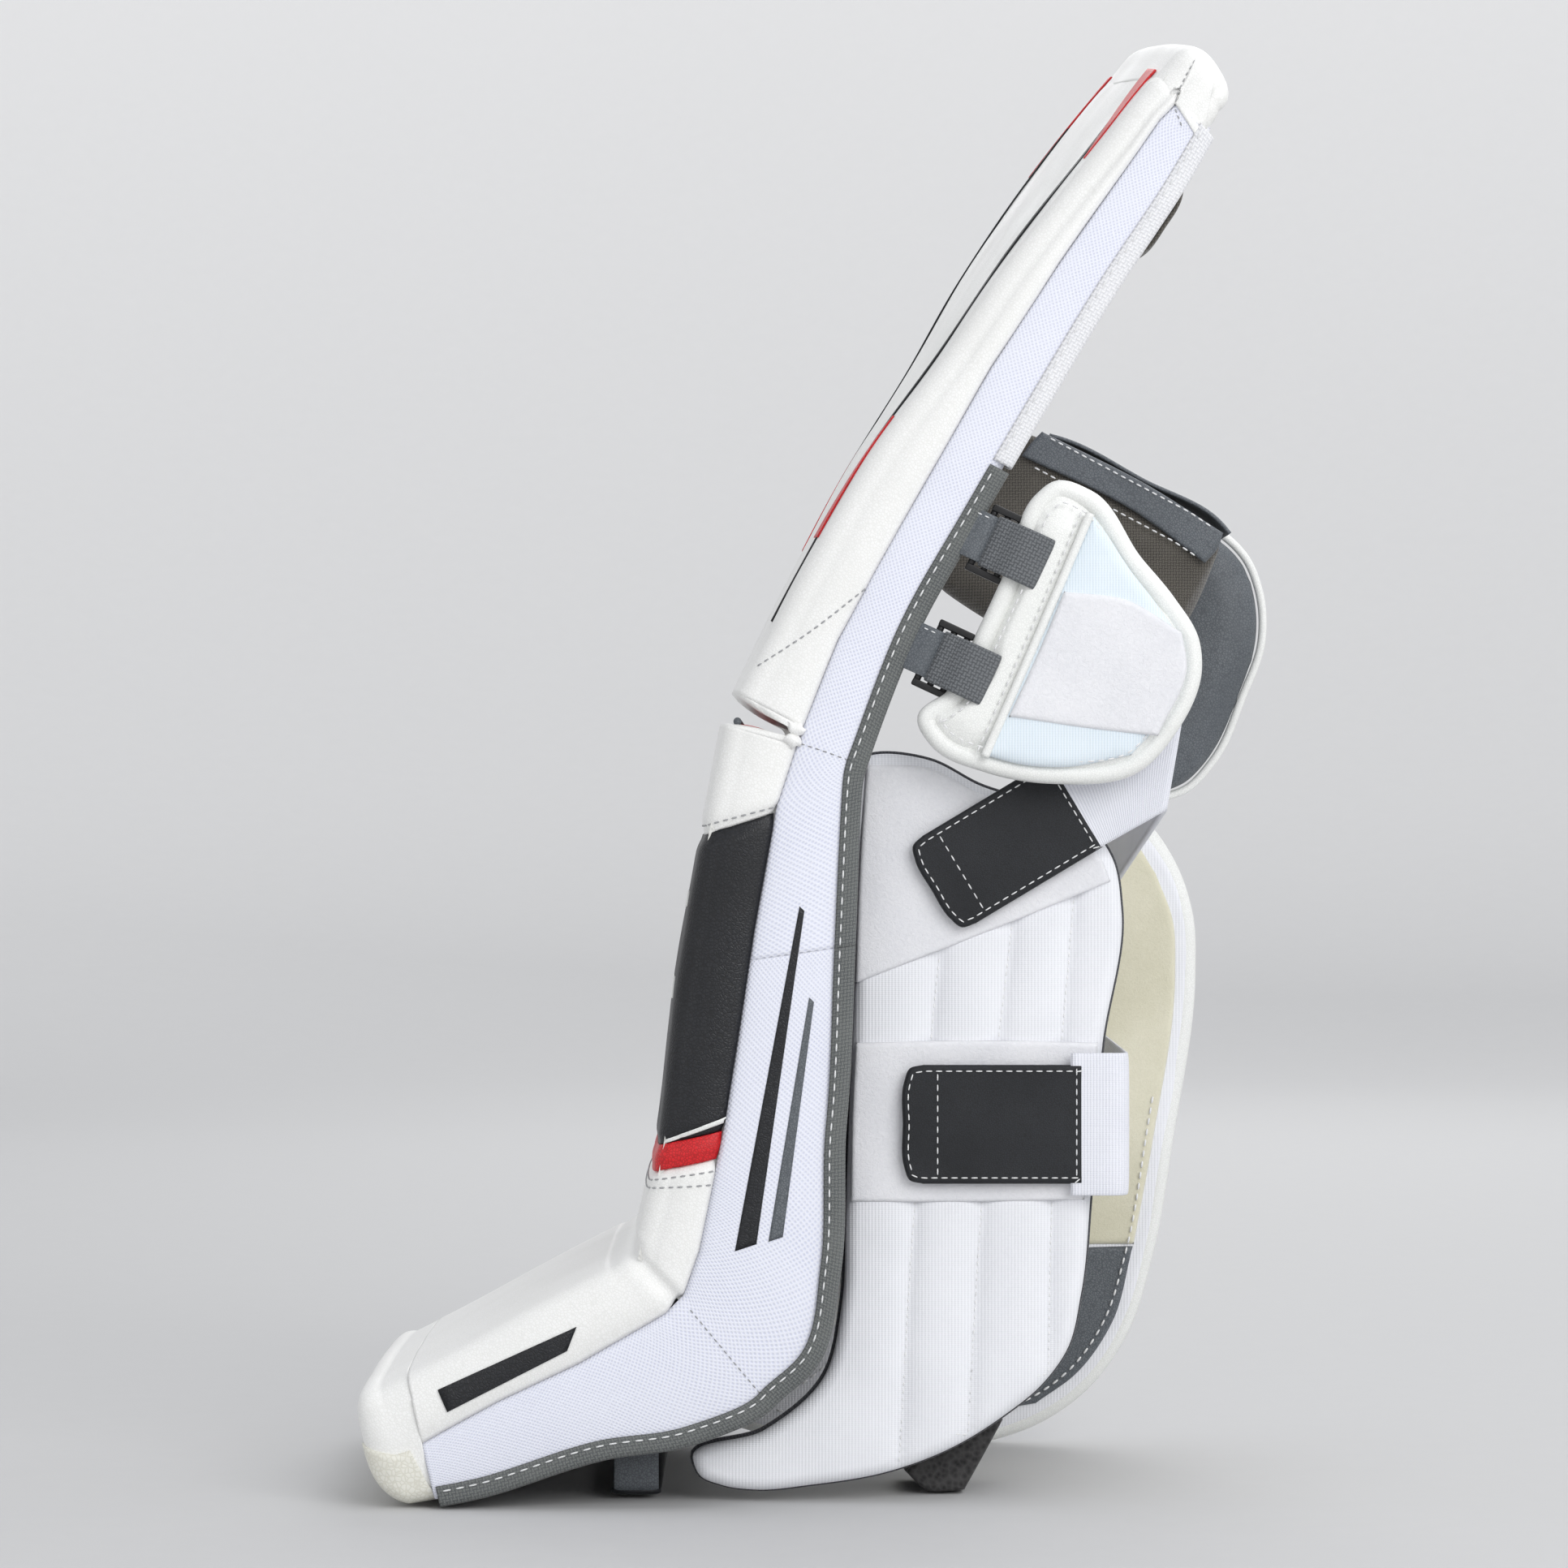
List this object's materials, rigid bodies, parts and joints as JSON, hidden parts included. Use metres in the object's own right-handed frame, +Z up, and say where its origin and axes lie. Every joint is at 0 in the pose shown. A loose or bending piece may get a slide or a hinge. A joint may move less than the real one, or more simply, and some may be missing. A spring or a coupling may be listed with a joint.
{
  "type": "ice hockey goalkeeper leg pad",
  "caption": "Junior goalkeeper's leg pad with a bent boot, a shin, a leaning thigh rise, fold-out calf wings, hook-and-loop straps, a knee wing and a medial knee block.",
  "frame": {"origin": "bottom centre of the bounding box, on the floor under the pad", "axes": "+Z up along the shin, +X to the back of the leg, -Y to the outside of the left leg"},
  "size_m": [0.3984, 0.274, 0.643],
  "materials": {
    "foam": "matte",
    "white_leather": "satin",
    "toe_leather": "satin",
    "black_leather": "satin",
    "red_leather": "satin",
    "side_mesh": "matte",
    "back_nylon": "matte",
    "thigh_back_mesh": "matte",
    "grey_binding": "matte",
    "cream_liner": "matte",
    "dark_foam": "matte",
    "wing_mesh": "matte",
    "white_vinyl": "satin",
    "loop_fabric": "matte",
    "grey_vinyl": "satin",
    "knit_elastic": "matte",
    "tab_vinyl": "matte",
    "quilted_textile": "matte",
    "buckle_plastic": "satin",
    "grey_elastic": "matte",
    "charcoal_fabric": "matte"
  },
  "bodies": {
    "shin": {"shin_core": "foam", "shin_face_upper": "white_leather", "shin_face_middle": "black_leather", "shin_chevron": "red_leather", "shin_face_lower": "white_leather", "shin_gusset_outer": "side_mesh", "shin_gusset_inner": "side_mesh", "shin_back_panel": "back_nylon", "shin_binding_outer": "grey_binding", "shin_binding_inner": "grey_binding", "shin_cushion": "cream_liner", "knee_fold_insert": "red_leather", "heel_wedge": "dark_foam"},
    "thigh": {"thigh_core": "foam", "thigh_face": "white_leather", "thigh_top_cap": "white_leather", "thigh_gusset_outer": "side_mesh", "thigh_gusset_inner": "side_mesh", "thigh_back_panel": "thigh_back_mesh", "thigh_binding_outer": "grey_binding", "thigh_binding_inner": "grey_binding", "hang_loop": "grey_binding", "upper_buckle_tab": "grey_vinyl", "lower_buckle_tab": "grey_vinyl"},
    "boot": {"boot_core": "foam", "boot_face": "white_leather", "toe_cap": "toe_leather", "boot_gusset_outer": "side_mesh", "boot_gusset_inner": "side_mesh", "boot_sole": "back_nylon", "boot_binding_outer": "grey_binding", "boot_binding_inner": "grey_binding"},
    "boot_strap": {"boot_strap": "tab_vinyl", "boot_strap_loops": "grey_vinyl"},
    "outer_wing": {"outer_calf_wing": "wing_mesh", "outer_loop_field": "loop_fabric", "outer_loop_band": "loop_fabric"},
    "inner_wing": {"inner_calf_wing": "wing_mesh", "inner_wing_liner": "cream_liner", "inner_wing_piping": "white_vinyl", "inner_wing_guard": "grey_vinyl"},
    "calf_strap": {"calf_strap_elastic": "knit_elastic", "calf_strap_tab": "tab_vinyl"},
    "knee_strap": {"knee_strap_elastic": "knit_elastic", "knee_strap_tab": "tab_vinyl"},
    "knee_wing": {"knee_wing_pad": "white_vinyl", "knee_wing_binding": "white_vinyl", "knee_wing_textile": "quilted_textile", "knee_wing_loop_band": "loop_fabric", "upper_buckle": "buckle_plastic", "lower_buckle": "buckle_plastic", "upper_webbing": "grey_elastic", "lower_webbing": "grey_elastic"},
    "knee_block": {"knee_block_base": "charcoal_fabric", "knee_block_band": "grey_vinyl", "knee_landing_pad": "grey_vinyl", "knee_landing_piping": "white_vinyl"}
  },
  "joints": [
    {"name": "knee_break", "type": "hinge", "parent": "shin", "child": "thigh", "pos_m": [0.011, 0, 0.3125], "axis": [0, 1, 0], "range_deg": [-7, 6], "stiffness_Nm_per_rad": 60},
    {"name": "boot_break", "type": "hinge", "parent": "shin", "child": "boot", "pos_m": [-0.027, 0, 0.045], "axis": [0, 1, 0], "range_deg": [-5, 3.5], "stiffness_Nm_per_rad": 60},
    {"name": "boot_strap_swing", "type": "hinge", "parent": "boot", "child": "boot_strap", "pos_m": [-0.084, 0, 0.023], "axis": [0, 1, 0], "range_deg": [-8, 35]},
    {"name": "outer_wing_open", "type": "hinge", "parent": "shin", "child": "outer_wing", "pos_m": [0.012, -0.101, 0.15], "axis": [0, 0, -1], "range_deg": [0, 30], "stiffness_Nm_per_rad": 0.6},
    {"name": "inner_wing_open", "type": "hinge", "parent": "shin", "child": "inner_wing", "pos_m": [0.012, 0.101, 0.15], "axis": [0, 0, 1], "range_deg": [0, 10]},
    {"name": "calf_strap_peel", "type": "hinge", "parent": "inner_wing", "child": "calf_strap", "pos_m": [0.123, 0.091, 0.16], "axis": [0, 0, 1], "range_deg": [0, 90]},
    {"name": "knee_strap_peel", "type": "hinge", "parent": "inner_wing", "child": "knee_strap", "pos_m": [0.119, 0.091, 0.26], "axis": [0, 0, 1], "range_deg": [0, 80]},
    {"name": "knee_wing_open", "type": "hinge", "parent": "thigh", "child": "knee_wing", "pos_m": [0.0425, -0.127, 0.365], "axis": [-0.4226, 0, -0.9063], "range_deg": [0, 45], "stiffness_Nm_per_rad": 0.4},
    {"name": "knee_block_fold", "type": "hinge", "parent": "thigh", "child": "knee_block", "pos_m": [0.06188, 0.112, 0.43268], "axis": [0.4695, 0, 0.8829], "range_deg": [0, 20], "stiffness_Nm_per_rad": 2}
  ],
  "couplings": [
    {"joint": "inner_wing_open", "follows": "outer_wing_open", "ratio": 0.33333},
    {"joint": "calf_strap_peel", "follows": "outer_wing_open", "ratio": 3},
    {"joint": "knee_strap_peel", "follows": "outer_wing_open", "ratio": 2.6667}
  ]
}
